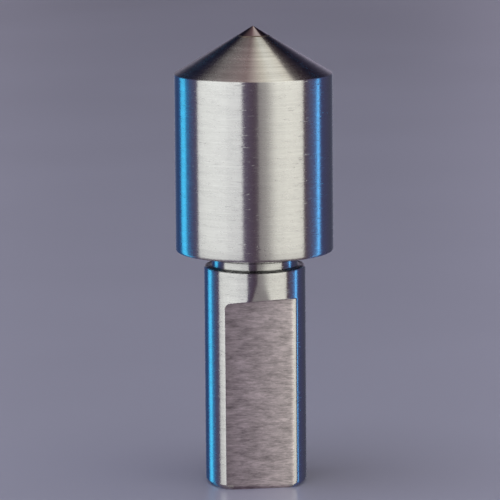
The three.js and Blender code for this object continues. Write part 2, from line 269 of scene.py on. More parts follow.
def carved(blank, cutters):
    """The blank's mesh with every cutter, a (points, faces) pair, taken out of it."""
    points, faces = [], []
    for some_points, some_faces in cutters:
        faces += [[len(points) + i for i in face] for face in some_faces]
        points += list(some_points)
    body = bpy.data.objects.new("blank", blank)
    tool = bpy.data.objects.new("cutters", make_mesh("cutters", np.array(points), faces))
    for item in (body, tool):
        bpy.context.scene.collection.objects.link(item)
    cut = body.modifiers.new("cut", "BOOLEAN")
    cut.operation, cut.solver, cut.object = "DIFFERENCE", "EXACT", tool
    bpy.context.view_layer.update()
    result = bpy.data.meshes.new_from_object(body.evaluated_get(bpy.context.evaluated_depsgraph_get()))
    result.name = blank.name
    result.materials.clear()
    clean = bmesh.new()
    clean.from_mesh(result)
    bmesh.ops.dissolve_degenerate(clean, dist=SPECK * MM, edges=clean.edges)
    clean.to_mesh(result)
    clean.free()
    for item in (body, tool):
        data = item.data
        bpy.data.objects.remove(item)
        bpy.data.meshes.remove(data)
    result.set_sharp_from_angle(angle=math.radians(SHARP))
    return result


# %% [markdown]
# ## Finishes
# Every finish is built from shader nodes. One small function adds a node with its settings and
# its links, and another turns an sRGB hex colour, the kind that a colour picker shows, into the
# linear numbers that the shader needs.

# %% Two helpers for materials
def colour(hex_code):
    """An sRGB hex colour as linear red, green, blue and alpha."""
    parts = [int(hex_code[i : i + 2], 16) / 255 for i in (0, 2, 4)]
    return [c / 12.92 if c <= 0.04045 else ((c + 0.055) / 1.055) ** 2.4 for c in parts] + [1]


def add(tree, kind, settings=None, **links):
    """Adds a node. settings go to its properties or sockets, links come from other nodes' sockets."""
    node = tree.nodes.new(kind)
    for key, value in (settings or {}).items():
        if hasattr(node, key):
            setattr(node, key, value)
        else:
            node.inputs[int(key) if key.isdigit() else key].default_value = value
    for key, source in links.items():
        socket = node.inputs[int(key[1:]) if key[1:].isdigit() else key.replace("_", " ")]
        tree.links.new(source, socket)
    return node


def new_material(name):
    """An empty material and its node tree."""
    material = bpy.data.materials.new(name)
    material.use_nodes = True
    material.node_tree.nodes.clear()
    return material, material.node_tree


# %% [markdown]
# ### Fine-turned steel
# The head and the shank are bright steel, turned on a lathe. The tool leaves a very fine spiral,
# so the surface is smooth along the groove and rough across it. A reflection then stays crisp from
# left to right and smears up and down, which is called anisotropic. The tangent node says which
# way the grooves run. Three bumps follow one another, from broad to fine: the bar is never quite
# round, so the edges of the reflections waver; the feed leaves lines; and handling leaves a few
# pits and short scratches. Real feed lines are 0.1 mm apart, too fine to show at this size, so
# they are drawn at two to four times that. The cone is ground again whenever the point wears, so
# its rings are coarser and darker, most of all next to the tip.

# %% Turned steel
BRIGHT_STEEL = colour("CBCCC9")
PIT_SPACING = 0.75  # millimetres between the cells that may hold a pit
MARK_DEPTH = 0.010  # of pits and scratches, in millimetres


def turned_steel(name, feed, groove, seed, darkest=0.93, waver=0.012, dull=None):
    """Lengths are in millimetres: feed and groove are the lines' spacing and depth, waver is how much
    the surface undulates, and dull holds two heights between which it turns from bright to dull."""
    material, tree = new_material(name)
    place = add(tree, "ShaderNodeTexCoord").outputs["Object"]
    # Broad: slow waves, 2.5 mm round the bar and 0.6 mm along it.
    slow = add(tree, "ShaderNodeMapping", {"Location": (seed, seed, seed), "Scale": (400, 400, 1600)},
               Vector=place)
    wave = add(tree, "ShaderNodeTexNoise", {"Scale": 1.0, "Detail": 3.0, "Roughness": 0.65},
               Vector=slow.outputs[0])
    surface = add(tree, "ShaderNodeBump", {"Distance": waver * MM}, Height=wave.outputs["Fac"])
    # Fine: the feed lines, each a little deeper or brighter than the next.
    line = add(tree, "ShaderNodeMapping", {"Scale": (60, 60, 1 / (feed * MM))}, Vector=place)
    streak = add(tree, "ShaderNodeTexNoise",
                 {"noise_dimensions": "4D", "W": seed, "Scale": 1.3, "Detail": 3.0, "Roughness": 0.6},
                 Vector=line.outputs[0])
    surface = add(tree, "ShaderNodeBump", {"Distance": groove * MM}, Height=streak.outputs["Fac"],
                  Normal=surface.outputs["Normal"])
    # Marks: a pit in one cell out of five, and scratches 1.4 mm long where a stretched noise peaks.
    cells = add(tree, "ShaderNodeTexVoronoi", {"Scale": 1 / (PIT_SPACING * MM)}, Vector=place)
    pit = add(tree, "ShaderNodeMapRange", {"From Min": 0.05, "From Max": 0.13, "To Min": 1.0, "To Max": 0.0},
              Value=cells.outputs["Distance"])
    chance = add(tree, "ShaderNodeMath", {"operation": "GREATER_THAN", "1": 0.80}, _0=cells.outputs["Color"])
    pit = add(tree, "ShaderNodeMath", {"operation": "MULTIPLY"}, _0=pit.outputs[0], _1=chance.outputs[0])
    long = add(tree, "ShaderNodeMapping", {"Scale": (700, 700, 7000), "Rotation": (0.10, 0.06, 0.0)},
               Vector=place)
    scratch = add(tree, "ShaderNodeTexNoise", {"Scale": 1.0, "Detail": 1.0}, Vector=long.outputs[0])
    scratch = add(tree, "ShaderNodeMapRange", {"From Min": 0.69, "From Max": 0.79},
                  Value=scratch.outputs["Fac"])
    marks = add(tree, "ShaderNodeMath", {"operation": "ADD"}, _0=pit.outputs[0], _1=scratch.outputs[0])
    surface = add(tree, "ShaderNodeBump", {"invert": True, "Distance": MARK_DEPTH * MM},
                  Height=marks.outputs[0], Normal=surface.outputs["Normal"])
    # Colour: feed lines shade it by a few percent, and dirt stays in the pits.
    shade = add(tree, "ShaderNodeMapRange",
                {"From Min": 0.3, "From Max": 0.7, "To Min": darkest, "To Max": 1.03},
                Value=streak.outputs["Fac"])
    dirt = add(tree, "ShaderNodeMapRange", {"To Min": 1.0, "To Max": 0.80}, Value=pit.outputs[0])
    shade = add(tree, "ShaderNodeMath", {"operation": "MULTIPLY"},
                _0=shade.outputs[0], _1=dirt.outputs[0])
    if dull:
        height = add(tree, "ShaderNodeSeparateXYZ", Vector=place)
        worn = add(tree, "ShaderNodeMapRange",
                   {"From Min": dull[0] * MM, "From Max": dull[1] * MM, "To Min": 1.0, "To Max": 0.72},
                   Value=height.outputs["Z"])
        shade = add(tree, "ShaderNodeMath", {"operation": "MULTIPLY"},
                    _0=shade.outputs[0], _1=worn.outputs[0])
    tone = add(tree, "ShaderNodeMix",
               {"data_type": "RGBA", "blend_type": "MULTIPLY", "0": 1.0, "6": BRIGHT_STEEL},
               _7=shade.outputs[0])
    roughness = add(tree, "ShaderNodeMapRange",
                    {"From Min": 0.3, "From Max": 0.7, "To Min": 0.24, "To Max": 0.29},
                    Value=wave.outputs["Fac"])
    grooves = add(tree, "ShaderNodeTangent", {"direction_type": "RADIAL", "axis": "Z"})
    steel = add(tree, "ShaderNodeBsdfPrincipled",
                {"Metallic": 1.0, "Anisotropic": 1.0, "Anisotropic Rotation": 0.25},
                Base_Color=tone.outputs["Result"], Roughness=roughness.outputs[0],
                Normal=surface.outputs["Normal"], Tangent=grooves.outputs["Tangent"])
    add(tree, "ShaderNodeOutputMaterial", Surface=steel.outputs["BSDF"])
    return material


head_steel = turned_steel("fine-turned steel, head", feed=0.20, groove=0.0008, seed=1.0)
cone_steel = turned_steel("ground steel, cone", feed=0.30, groove=0.0020, seed=7.0, darkest=0.70, waver=0.006,
                          dull=(point_z - 4.0, point_z - 1.4))
shank_steel = turned_steel("turned steel, shank", feed=0.38, groove=0.0020, seed=4.0)

# %% [markdown]
# ### Milled steel
# The flat was cut across the shank, probably by the side of a small end mill. The cutter smears
# the steel into short ragged strokes, 1 to 2 mm long, some bright and some dull, so the surface is
# blotchy, rougher than the turned one, and a little darker and warmer.

# %% Milled steel
STROKE_DEPTH = 0.035  # in millimetres


def milled_steel():
    material, tree = new_material("milled steel, flat")
    place = add(tree, "ShaderNodeTexCoord").outputs["Object"]
    # Strokes are 1.1 mm long and 0.2 mm wide, and the blotches 2 mm long and 0.8 mm wide.
    strokes = add(tree, "ShaderNodeMapping", {"Scale": (900, 900, 5200)}, Vector=place)
    stroke = add(tree, "ShaderNodeTexNoise",
                 {"Scale": 1.0, "Detail": 4.0, "Roughness": 0.75, "Distortion": 0.4},
                 Vector=strokes.outputs[0])
    patches = add(tree, "ShaderNodeMapping", {"Scale": (500, 500, 1300)}, Vector=place)
    patch = add(tree, "ShaderNodeTexNoise", {"Scale": 1.0, "Detail": 4.0, "Roughness": 0.6},
                Vector=patches.outputs[0])
    both = add(tree, "ShaderNodeMix", {"data_type": "FLOAT", "Factor": 0.45},
               A=stroke.outputs["Fac"], B=patch.outputs["Fac"])
    surface = add(tree, "ShaderNodeBump", {"Distance": STROKE_DEPTH * MM}, Height=both.outputs["Result"])
    tone = add(tree, "ShaderNodeMapRange",
               {"From Min": 0.36, "From Max": 0.64, "To Min": 0.52, "To Max": 1.42},
               Value=both.outputs["Result"])
    # Painted sheen and painted reflection: the right side is painted brighter and warmer than the left, and
    # the left is tinted purple like the room it would reflect.
    across = add(tree, "ShaderNodeSeparateXYZ", Vector=place)
    painted_sheen = add(tree, "ShaderNodeMapRange",
                 {"From Min": -4.4 * MM, "From Max": 4.4 * MM, "To Min": 0.86, "To Max": 1.42},
                 Value=across.outputs["X"])
    tone = add(tree, "ShaderNodeMath", {"operation": "MULTIPLY"}, _0=tone.outputs[0], _1=painted_sheen.outputs[0])
    # Painted reflection: the tint runs from the room's purple on the left to warmer steel on the right.
    side = add(tree, "ShaderNodeMapRange", {"From Min": -2.5 * MM, "From Max": 4.4 * MM},
               Value=across.outputs["X"])
    painted_reflection_tint = add(tree, "ShaderNodeMix",
                     {"data_type": "RGBA", "6": colour("BBB2BA"), "7": colour("BBB5B4")},
                     Factor=side.outputs[0])
    tint = add(tree, "ShaderNodeMix", {"data_type": "RGBA", "blend_type": "MULTIPLY", "0": 1.0},
               _6=painted_reflection_tint.outputs["Result"], _7=tone.outputs[0])
    roughness = add(tree, "ShaderNodeMapRange",
                    {"From Min": 0.35, "From Max": 0.65, "To Min": 0.30, "To Max": 0.46},
                    Value=patch.outputs["Fac"])
    grooves = add(tree, "ShaderNodeTangent", {"direction_type": "RADIAL", "axis": "Z"})
    steel = add(tree, "ShaderNodeBsdfPrincipled",
                {"Metallic": 1.0, "Anisotropic": 0.8, "Anisotropic Rotation": 0.25},
                Base_Color=tint.outputs["Result"], Roughness=roughness.outputs["Result"],
                Normal=surface.outputs["Normal"], Tangent=grooves.outputs["Tangent"])
    add(tree, "ShaderNodeOutputMaterial", Surface=steel.outputs["BSDF"])
    return material


flat_steel = milled_steel()

# %% [markdown]
# ### Simple finishes
# The tip and the pieces inside each have one even finish with a fine grain in it. A short function
# makes them all. The real grain, from grit or a mould, is too fine to show, so it is drawn coarser.

# %% Even finishes with a fine grain
def grained(name, hex_code, rough, grain, depth, metallic=1.0, spread=0.04):
    """grain and depth, the size and height of the surface's texture, are in millimetres."""
    material, tree = new_material(name)
    place = add(tree, "ShaderNodeTexCoord").outputs["Object"]
    noise = add(tree, "ShaderNodeTexNoise", {"Scale": 1 / (grain * MM), "Detail": 4.0, "Roughness": 0.6},
                Vector=place)
    bump = add(tree, "ShaderNodeBump", {"Distance": depth * MM}, Height=noise.outputs["Fac"])
    smoothest, roughest = rough - spread / 2, rough + spread / 2
    roughness = add(tree, "ShaderNodeMapRange",
                    {"From Min": 0.3, "From Max": 0.7, "To Min": smoothest, "To Max": roughest},
                    Value=noise.outputs["Fac"])
    shade = add(tree, "ShaderNodeMapRange",
                {"From Min": 0.3, "From Max": 0.7, "To Min": 0.93, "To Max": 1.04},
                Value=noise.outputs["Fac"])
    tone = add(tree, "ShaderNodeMix",
               {"data_type": "RGBA", "blend_type": "MULTIPLY", "0": 1.0, "6": colour(hex_code)},
               _7=shade.outputs["Result"])
    surface = add(tree, "ShaderNodeBsdfPrincipled", {"Metallic": metallic},
                  Base_Color=tone.outputs["Result"], Roughness=roughness.outputs["Result"],
                  Normal=bump.outputs["Normal"])
    add(tree, "ShaderNodeOutputMaterial", Surface=surface.outputs["BSDF"])
    return material


carbide = grained("ground tungsten carbide", "8E8488", rough=0.08, grain=0.10, depth=0.0006)
solder = grained("oxidised silver solder", "6A6058", rough=0.45, grain=0.10, depth=0.004)
race_steel = grained("ground bearing steel", "C9CACB", rough=0.16, grain=0.15, depth=0.0004)
ball_steel = grained("polished bearing steel", "D2D3D4", rough=0.06, grain=0.30, depth=0.0001, spread=0.02)
zinc = grained("bright zinc on pressed steel", "B4B8BC", rough=0.28, grain=0.25, depth=0.0010)
spring = grained("tempered spring steel", "8E8C8A", rough=0.32, grain=0.20, depth=0.0008)
black_oxide = grained("black oxide on steel", "2B2C2F", rough=0.42, grain=0.12, depth=0.0012)
cage_brass = grained("machined brass", "B9974F", rough=0.26, grain=0.15, depth=0.0008)
cage_nylon = grained("moulded nylon", "A24E33", rough=0.50, grain=0.30, depth=0.0020, metallic=0.0)
nitrile = grained("moulded nitrile rubber", "1C1D1F", rough=0.68, grain=0.20, depth=0.0030, metallic=0.0)
print(len(bpy.data.materials), "materials")

# %% [markdown]
# ## Putting a piece in place
# Each fine piece takes its body from the record and its finishes from the cell that makes it, stands
# for its CAD node, and rides on the same body, so it moves exactly as the plain solid does.

# %% Swap a CAD node for a fine piece
body_of = {node: body for body, nodes in frame["record"]["behaviour"]["bodies"].items() for node in nodes}


def finish_node(node, mesh, *materials):
    """The mesh as an object that stands for a CAD node, with its finishes in order."""
    for material in materials:
        mesh.materials.append(material)
    piece = bpy.data.objects.new(f"{node}_finished", mesh)
    bpy.context.scene.collection.objects.link(piece)
    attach(piece, body_of[node])
    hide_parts(node)
    return piece


# %% [markdown]
# ## The shank
# The shank, the neck and the spindle inside the head are one turned bar. The clamping flat is
# milled into it afterwards. A Boolean modifier could cut the flat, but its long thin faces shade
# badly next to a shiny cylinder. Here the rings of points are pushed back to the flat instead: in
# front of the axis the surface is never further out than the cutter let it be. The cutter's end
# left a wall that leans back, its corner is a little round, and whoever took the burr off the
# edge dubbed the steel above it slightly flat.

# %% The surface that the cutter and the deburring left
flat_mount = next(m for m in frame["record"]["mounts"] if m["name"] == "shank_flat")
flat_depth = -flat_mount["pos_m"][1] / MM  # the flat's distance from the axis
shank_radius = radius("shank")
half_flat = math.sqrt(shank_radius**2 - flat_depth**2)  # half of the flat's width
FLAT_END = 23.85  # height of the middle of the flat's top end
FLAT_SKEW = math.tan(math.radians(3))
WALL_SLOPE = 1 / math.tan(math.radians(11.5))
CORNER_RADIUS = 0.7  # at the flat's upper left corner
CROWN = 0.07  # the flat is this much higher along its middle than at its long edges
EDGE_BREAK = 0.55  # how wide the flat's right edge is broken
EDGE_DROP = 0.10  # and how far it drops
END_BREAK = 0.45  # height of the worn round at the flat's lower end
END_DROP = 0.16  # and how far it drops
DUB_DEPTH = 0.14  # how much the deburring took off just above the flat
DUB_SLOPE = 0.070
DUB_ANGLE = math.radians(2)  # the file was held this far round to the left


def soft_min(a, b, blend):
    """The smaller of two heights, with a round of about that size where they cross."""
    overlap = np.maximum(blend - np.abs(a - b), 0) / blend
    return np.minimum(a, b) - overlap**2 * blend / 4


def flat_end(x):
    """The height at which the flat ends, from left to right."""
    into_corner = np.clip(CORNER_RADIUS - half_flat - x, 0, CORNER_RADIUS)
    drop = CORNER_RADIUS - np.sqrt(CORNER_RADIUS**2 - into_corner**2)
    return FLAT_END + FLAT_SKEW * x - drop


def front_limit(x, z):
    """How far out from the axis the milled and deburred front may reach."""
    above = z - flat_end(x)
    into_edge = np.clip((x - half_flat + EDGE_BREAK) / EDGE_BREAK, 0, 1.4)
    into_end = np.clip(1 - z / END_BREAK, 0, 1)
    low = flat_depth + CROWN * (1 - (x / half_flat) ** 2)
    low = low - EDGE_DROP * into_edge**2 - END_DROP * into_end**2
    wall = low - soft_min(-above * WALL_SLOPE, 0 * above, 0.12)
    dubbed = (shank_radius - DUB_DEPTH + DUB_SLOPE * np.maximum(above, 0)) / math.cos(DUB_ANGLE)
    dubbed += x * math.tan(DUB_ANGLE)
    return soft_min(wall, dubbed, 0.10)


# %% Rows and columns of the shank
shoulder_z = 27.8
neck_radius = 5.4
RACE_WALL = 1.3  # from an inner ring's bore to its shoulder
journal_radius = radius("lower_inner_ring") - RACE_WALL - FIT
race_z = bottom("lower_inner_ring") - FIT
pilot_z = top("thrust_lower_washer")
spindle_top = top("shank")
nut_low, nut_high = bottom("lock_nut"), top("lock_nut")
NUT_PITCH = 0.75  # a fine 8 mm thread
NECK_MARK = 0.95  # how far above the shoulder a tool line runs round the neck
CHAMFER = 0.5
SHOULDER_BREAK = 0.3
centre_outline = [(0.0, 4.9), (1.0, 4.3), (1.0, 1.91), (2.1, 0.0)]  # centre hole, drilled to a point


def shank_rows():
    """The round outline as (radius, height), from the end face up to the shoulder."""
    low = [(2.14, 0.0)]
    low += [(r, 0.0) for r in np.linspace(2.6, shank_radius - CHAMFER - 0.12, 5)]
    low += [(shank_radius - CHAMFER - 0.04, 0.02), (shank_radius - CHAMFER + 0.06, 0.09)]
    low += [(shank_radius - 0.09, CHAMFER - 0.06), (shank_radius - 0.01, CHAMFER + 0.06)]
    below = np.linspace(CHAMFER + 0.3, FLAT_END - 1.2, 34)
    low[-2:-2] = [(shank_radius - CHAMFER + z, z + 0.02) for z in (0.17, 0.26, 0.34)]
    close = np.linspace(FLAT_END - 1.15, FLAT_END + 0.9, 42)
    above = np.linspace(FLAT_END + 1.0, shoulder_z - SHOULDER_BREAK, 16)
    rows = low + [(shank_radius, z) for z in (*below, *close, *above)]
    turn_in = np.linspace(0, math.pi / 2, 6)[1:]
    rim, start = shank_radius - SHOULDER_BREAK, shoulder_z - SHOULDER_BREAK
    rows += [(rim + SHOULDER_BREAK * math.cos(t), start + SHOULDER_BREAK * math.sin(t)) for t in turn_in]
    return rows


def shank_columns(reach):
    """Angles round the shank. One column follows each long edge of the flat on every row."""
    edge = math.acos(min(flat_depth / max(reach, flat_depth + 0.05), 1))
    across = np.sin(np.linspace(-math.pi / 2, math.pi / 2, 61))
    back_share = (1 - np.cos(np.linspace(0, math.pi, 133)[1:-1])) / 2
    even = np.linspace(0, 1, 133)[1:-1]
    behind = edge + (2 * math.pi - 2 * edge) * (0.25 * back_share + 0.75 * even)
    return np.concatenate([across * edge, behind])


def shank_ring(reach, height):
    angle = shank_columns(reach)
    x = reach * np.sin(angle)
    out = reach * np.cos(angle)
    level = np.interp(height, [CHAMFER, FLAT_END, shoulder_z - SHOULDER_BREAK], [0, 1, 0])
    z = height + FLAT_SKEW * x * level
    out = np.where(out > 0, soft_min(out, front_limit(x, z), 0.07), out)
    return np.stack([x, -out, z], axis=-1)


# %% The shank's mesh
def shank_mesh():
    rings = [shank_ring(r, z) for r, z in shank_rows()]
    count = rings[0].shape[0]
    angle = shank_columns(shank_radius)

    def plain(r, z):
        return np.stack([r * np.sin(angle), -r * np.cos(angle), np.full(count, z)], axis=-1)

    bore = [plain(r, z) for r, z in centre_outline]
    mark_z = shoulder_z + NECK_MARK
    upper = [(neck_radius + 0.15, shoulder_z - 0.01), (neck_radius + 0.04, shoulder_z + 0.03),
             (neck_radius, shoulder_z + 0.12), (neck_radius, mark_z - 0.06), (neck_radius - 0.035, mark_z),
             (neck_radius, mark_z + 0.06), (neck_radius, race_z - 0.08), (neck_radius - 0.08, race_z),
             (journal_radius + 0.06, race_z), (journal_radius, race_z + 0.06)]
    upper += thread_rows(journal_radius, nut_low - 0.4, nut_high + 0.3, NUT_PITCH)
    upper += [(journal_radius, pilot_z - 0.05),
             (journal_radius - 0.05, pilot_z), (journal_radius - 0.2, pilot_z + 0.02),
             (journal_radius - 0.2, spindle_top - 0.4), (journal_radius - 0.6, spindle_top),
             (0.0, spindle_top)]
    spindle = threaded([plain(r, z) for r, z in upper],
                       journal_radius, nut_low - 0.3, nut_high + 0.2, NUT_PITCH, 0.30)
    points, faces = skin(bore + rings + list(spindle), closed=False)
    mesh = make_mesh("shank_finished", points, faces, sharp=28)
    x, y, z = face_middles(points, faces)
    milled = (y < 0) & (z > 0.05) & (z < flat_end(x) + 0.3) & (np.abs(y + flat_depth) < 1.5)
    milled &= -y < np.sqrt(np.maximum(shank_radius**2 - x**2, 0)) - 0.04  # below the round surface
    milled &= x < half_flat - 0.5 * EDGE_BREAK
    milled &= (z >= CHAMFER) | (np.hypot(x, y) < shank_radius - CHAMFER - 0.1)
    mesh.polygons.foreach_set("material_index", milled.astype(np.int32))
    return mesh


finish_node("shank", shank_mesh(), shank_steel, flat_steel)
print("shank", 2 * shank_radius, "mm, flat", round(shank_radius - flat_depth, 2), "mm deep")

# %% [markdown]
# ## The head
# The head is one turned shell: a cylinder, a cone ground to 118 degrees, and inside it the bore
# for the bearings and a wider thread at the mouth. Its lower edge is broken by a small round, and
# the edge under the cone is left almost sharp.

# %% The head's shell
bore_radius = radius("upper_outer_ring") + FIT
thread_radius = radius("retaining_ring") + FIT
floor_z = top("thrust_upper_washer") + FIT
ledge_z = top("retaining_ring") + FIT
hole_radius = radius("carbide_tip") + FIT
seat_z = bottom("carbide_tip") - FIT
VENT = 0.7  # radius of the hole behind the tip
MOUTH_BREAK = 0.4
MOUTH_PITCH = 0.5  # the fine thread that holds the retaining ring
CONE_BREAK = 0.25  # the round between the cone and the cylinder
SEAM = 0.10  # width of each side of the groove round the tip
SEAM_DEPTH = 0.14
RAGGED = 0.03  # how far the seam strays from round


def cone_height(reach):
    return point_z - reach / math.tan(HALF_POINT)


def ragged(rings):
    """The rings with the seam round the tip a little out of round, as solder leaves it."""
    x, y, z = rings[..., 0], rings[..., 1], rings[..., 2]
    reach, angle = np.hypot(x, y), np.arctan2(y, x)
    near = (np.abs(reach - hole_radius) < 2 * SEAM) & (z > cone_height(hole_radius) - SEAM_DEPTH - 0.1)
    wave = np.sin(2 * angle + 1) + np.sin(5 * angle) + 0.6 * np.sin(11 * angle + 2)
    shift = np.where(near, RAGGED * wave, 0)
    scale = 1 + shift / np.maximum(reach, 0.001)
    return np.stack([x * scale, y * scale, z - shift / math.tan(HALF_POINT)], axis=-1)


def head_mesh():
    corners = [((VENT, floor_z), 0.05), ((bore_radius, floor_z), 0.25), ((bore_radius, ledge_z), 0.15),
               ((thread_radius, ledge_z), 0.05), ((thread_radius, mouth_z), 0.2),
               ((head_radius, mouth_z), MOUTH_BREAK), ((head_radius, cone_z), CONE_BREAK),
               ((hole_radius + SEAM, cone_height(hole_radius + SEAM)), 0.03),
               ((hole_radius, cone_height(hole_radius) - SEAM_DEPTH), 0.03), ((hole_radius, seat_z), 0.1),
               ((VENT, seat_z), 0.05)]
    outline = rounded([corner for corner, _ in corners], [size for _, size in corners])
    dense = []
    for here, there in zip(outline, outline[1:] + outline[:1]):
        length = math.dist(here, there)
        steps = max(1, round(length / 1.5))
        dense += [tuple(np.array(here) + (np.array(there) - here) * i / steps) for i in range(steps)]
    in_mouth = [i for i, (r, z) in enumerate(dense) if r == thread_radius and mouth_z < z < ledge_z]
    rows = thread_rows(thread_radius, ledge_z - 0.2, mouth_z + 0.3, MOUTH_PITCH)
    dense[in_mouth[0] : in_mouth[-1] + 1] = rows
    rings = threaded(ring_points(dense), thread_radius, mouth_z + 0.2, ledge_z - 0.1, MOUTH_PITCH, -0.25)
    points, faces = skin(ragged(rings), closed=True)
    mesh = make_mesh("head_shell_finished", points, faces)
    x, y, z = face_middles(points, faces)
    ground = (z > cone_z) & (np.abs(z - cone_height(np.hypot(x, y))) < 0.03)
    mesh.polygons.foreach_set("material_index", ground.astype(np.int32))
    return mesh


finish_node("head_shell", head_mesh(), head_steel, cone_steel)

# %% [markdown]
# The point itself is a small pin of tungsten carbide, soldered into the head and then ground with
# it to one cone. Carbide takes a smoother and darker finish than steel. The solder shows as a thin
# dull line, which lies a little lower than both, so the pin's edge is cut back to meet it.

# %% The carbide tip
tip_radius = radius("carbide_tip")


def tip_mesh():
    low = bottom("carbide_tip")
    outline = [(0, low), (tip_radius - 0.3, low), (tip_radius, low + 0.3),
               (tip_radius, cone_height(tip_radius) - SEAM_DEPTH),
               (tip_radius - SEAM, cone_height(tip_radius - SEAM))]
    outline += [(r, cone_height(r)) for r in np.linspace(tip_radius - 2 * SEAM - 0.05, 0.12, 12)]
    outline += [(0.05, cone_height(0.08)), (0, cone_height(0.07))]
    points, faces = skin(ragged(ring_points(outline)), closed=False)
    mesh = make_mesh("carbide_tip_finished", points, faces)
    x, y, z = face_middles(points, faces)
    soldered = cone_height(np.hypot(x, y)) - z > 0.02
    mesh.polygons.foreach_set("material_index", soldered.astype(np.int32))
    return mesh


finish_node("carbide_tip", tip_mesh(), carbide, solder)

# %% [markdown]
# ## The retaining ring and its seal
# A black threaded ring screws into the head's mouth and holds the lower bearing. A pin spanner
# turns it by two small holes in its lower face. Inside it sits a rubber seal, whose thin lip leans
# on the neck and keeps coolant and chips out.

# %% Retaining ring
ring_low, ring_high, ring_radius = bottom("retaining_ring"), top("retaining_ring"), radius("retaining_ring")
lip_radius = neck_radius + 0.2
seal_radius = radius("lip_seal") + FIT
seal_z = bottom("lip_seal") - FIT
PIN_HOLE = 1.1  # across, and 1.2 deep


def ring_mesh():
    corners = rounded([(lip_radius, ring_low), (ring_radius, ring_low), (ring_radius, ring_high),
                       (seal_radius, ring_high), (seal_radius, seal_z), (lip_radius, seal_z)],
                      [0.1, 0.2, 0.15, 0.1, 0.05, 0.1])
    place = next(i for i, (r, z) in enumerate(corners) if abs(r - ring_radius) < 1e-6 and z > ring_low + 1)
    rows = thread_rows(ring_radius, ring_low + 0.3, ring_high - 0.25, MOUTH_PITCH)
    rings = ring_points(corners[:place] + rows + corners[place:], INNER)
    rings = threaded(rings, ring_radius, ring_low + 0.2, ring_high - 0.1, MOUTH_PITCH, 0.25)
    points, faces = skin(rings, closed=True)
    drill = [(0.0, -0.5), (PIN_HOLE / 2, -0.5), (PIN_HOLE / 2, 1.05), (0.0, 1.35)]
    drill_points, drill_faces = skin(ring_points(drill, 24), closed=False)
    reach = (seal_radius + ring_radius) / 2
    holes = [(drill_points + np.array((side * reach, 0, ring_low)), drill_faces) for side in (-1, 1)]
    return carved(make_mesh("retaining_ring_finished", points, faces), holes)


finish_node("retaining_ring", ring_mesh(), black_oxide)
print("retaining ring", round(2 * ring_radius, 2), "mm across its thread")

# %% Lip seal
heel_radius = radius("lip_seal") - 0.5
lip_touch = neck_radius + 0.06
seal_low, seal_high = bottom("lip_seal"), top("lip_seal")
seal_corners = [(heel_radius, seal_low), (seal_radius - FIT, seal_low), (seal_radius - FIT, seal_high),
                (heel_radius, seal_high), (heel_radius - 0.02, seal_low + 0.42), (lip_touch, seal_low + 0.95),
                (lip_touch, seal_low + 0.72), (heel_radius - 0.35, seal_low + 0.12)]
seal_outline = rounded(seal_corners, [0.05, 0.12, 0.12, 0.12, 0.12, 0.05, 0.05, 0.15])
finish_node("lip_seal", turned("lip_seal_finished", seal_outline, INNER), nitrile)

# %% [markdown]
# ## Two deep-groove ball bearings
# Each bearing has an inner and an outer ring with a round groove, nine balls, a moulded crown cage
# that the balls snap into from one side, and two thin pressed shields. The grooves are a little
# rounder than the balls, so each ball touches at one point.

# %% Rings
BALL_RADIUS = 2.381 / 2
PITCH_RADIUS = 6.0
GROOVE_RADIUS = BALL_RADIUS + 0.10
BALLS = 9
SHOULDER = 0.7  # from the pitch circle to each ring's shoulder


def groove(middle, start, end, steps=12):
    """Outline points along a raceway, between two directions in degrees. 0 is outwards, 90 is up."""
    turn = [math.radians(angle) for angle in np.linspace(start, end, steps)]
    return [(PITCH_RADIUS + GROOVE_RADIUS * math.cos(t), middle + GROOVE_RADIUS * math.sin(t)) for t in turn]


def race_mesh(node, inner, outer, open_outwards):
    low, high = bottom(node), top(node)
    half = math.degrees(math.acos(SHOULDER / GROOVE_RADIUS))
    blank = rounded([(inner, low), (outer, low), (outer, high), (inner, high)], 0.15)
    if open_outwards:  # the groove lies on the outside of an inner ring
        place = next(i for i, (r, z) in enumerate(blank) if abs(r - outer) < 1e-6 and z > (low + high) / 2)
        outline = blank[:place] + groove((low + high) / 2, 180 + half, 180 - half) + blank[place:]
    else:
        outline = blank + groove((low + high) / 2, half, -half)
    return turned(f"{node}_finished", outline, INNER)


# %% Shields: thin sheet, dished inwards next to the inner ring
SHEET = 0.16


def shield_mesh(node, inwards):
    low, high = bottom(node), top(node)
    step = (high - low) - SHEET
    outer, inner = radius(node), PITCH_RADIUS - SHOULDER + 0.15
    rim, dish = (low, low + step) if inwards > 0 else (low + step, low)
    lower = [(inner, dish), (inner + 0.35, dish), (inner + 0.55, rim), (outer, rim)]
    upper = [(r, z + SHEET) for r, z in reversed(lower)]
    return turned(f"{node}_finished", rounded(lower + upper, 0.05), INNER)


# %% Crown cage: a moulded ring with ball pockets, and a notch between each pair of prongs
BALL_PLAY = 0.08  # between a ball and its pocket
NOTCH_RADIUS = 0.62
CAGE_FACETS = 144  # a whole number for each of the nine pockets


def around(count, start=0.0):
    return [start + 2 * math.pi * i / count for i in range(count)]


def ball_centre(angle, height):
    return (PITCH_RADIUS * math.cos(angle), PITCH_RADIUS * math.sin(angle), height)


def pockets(height):
    """Cutters for a cage's ball pockets."""
    return [ball_points(ball_centre(angle, height), BALL_RADIUS + BALL_PLAY) for angle in around(BALLS)]


def crown_mesh(node, middle):
    low, high = bottom(node), top(node)
    outline = rounded([(PITCH_RADIUS - 0.5, low), (PITCH_RADIUS + 0.5, low), (PITCH_RADIUS + 0.5, high),
                       (PITCH_RADIUS - 0.5, high)], 0.12)
    between = around(BALLS, math.pi / BALLS)
    notches = [ball_points(ball_centre(angle, high + 0.25), NOTCH_RADIUS, 20) for angle in between]
    return carved(turned(f"{node}_finished", outline, CAGE_FACETS), pockets(middle) + notches)


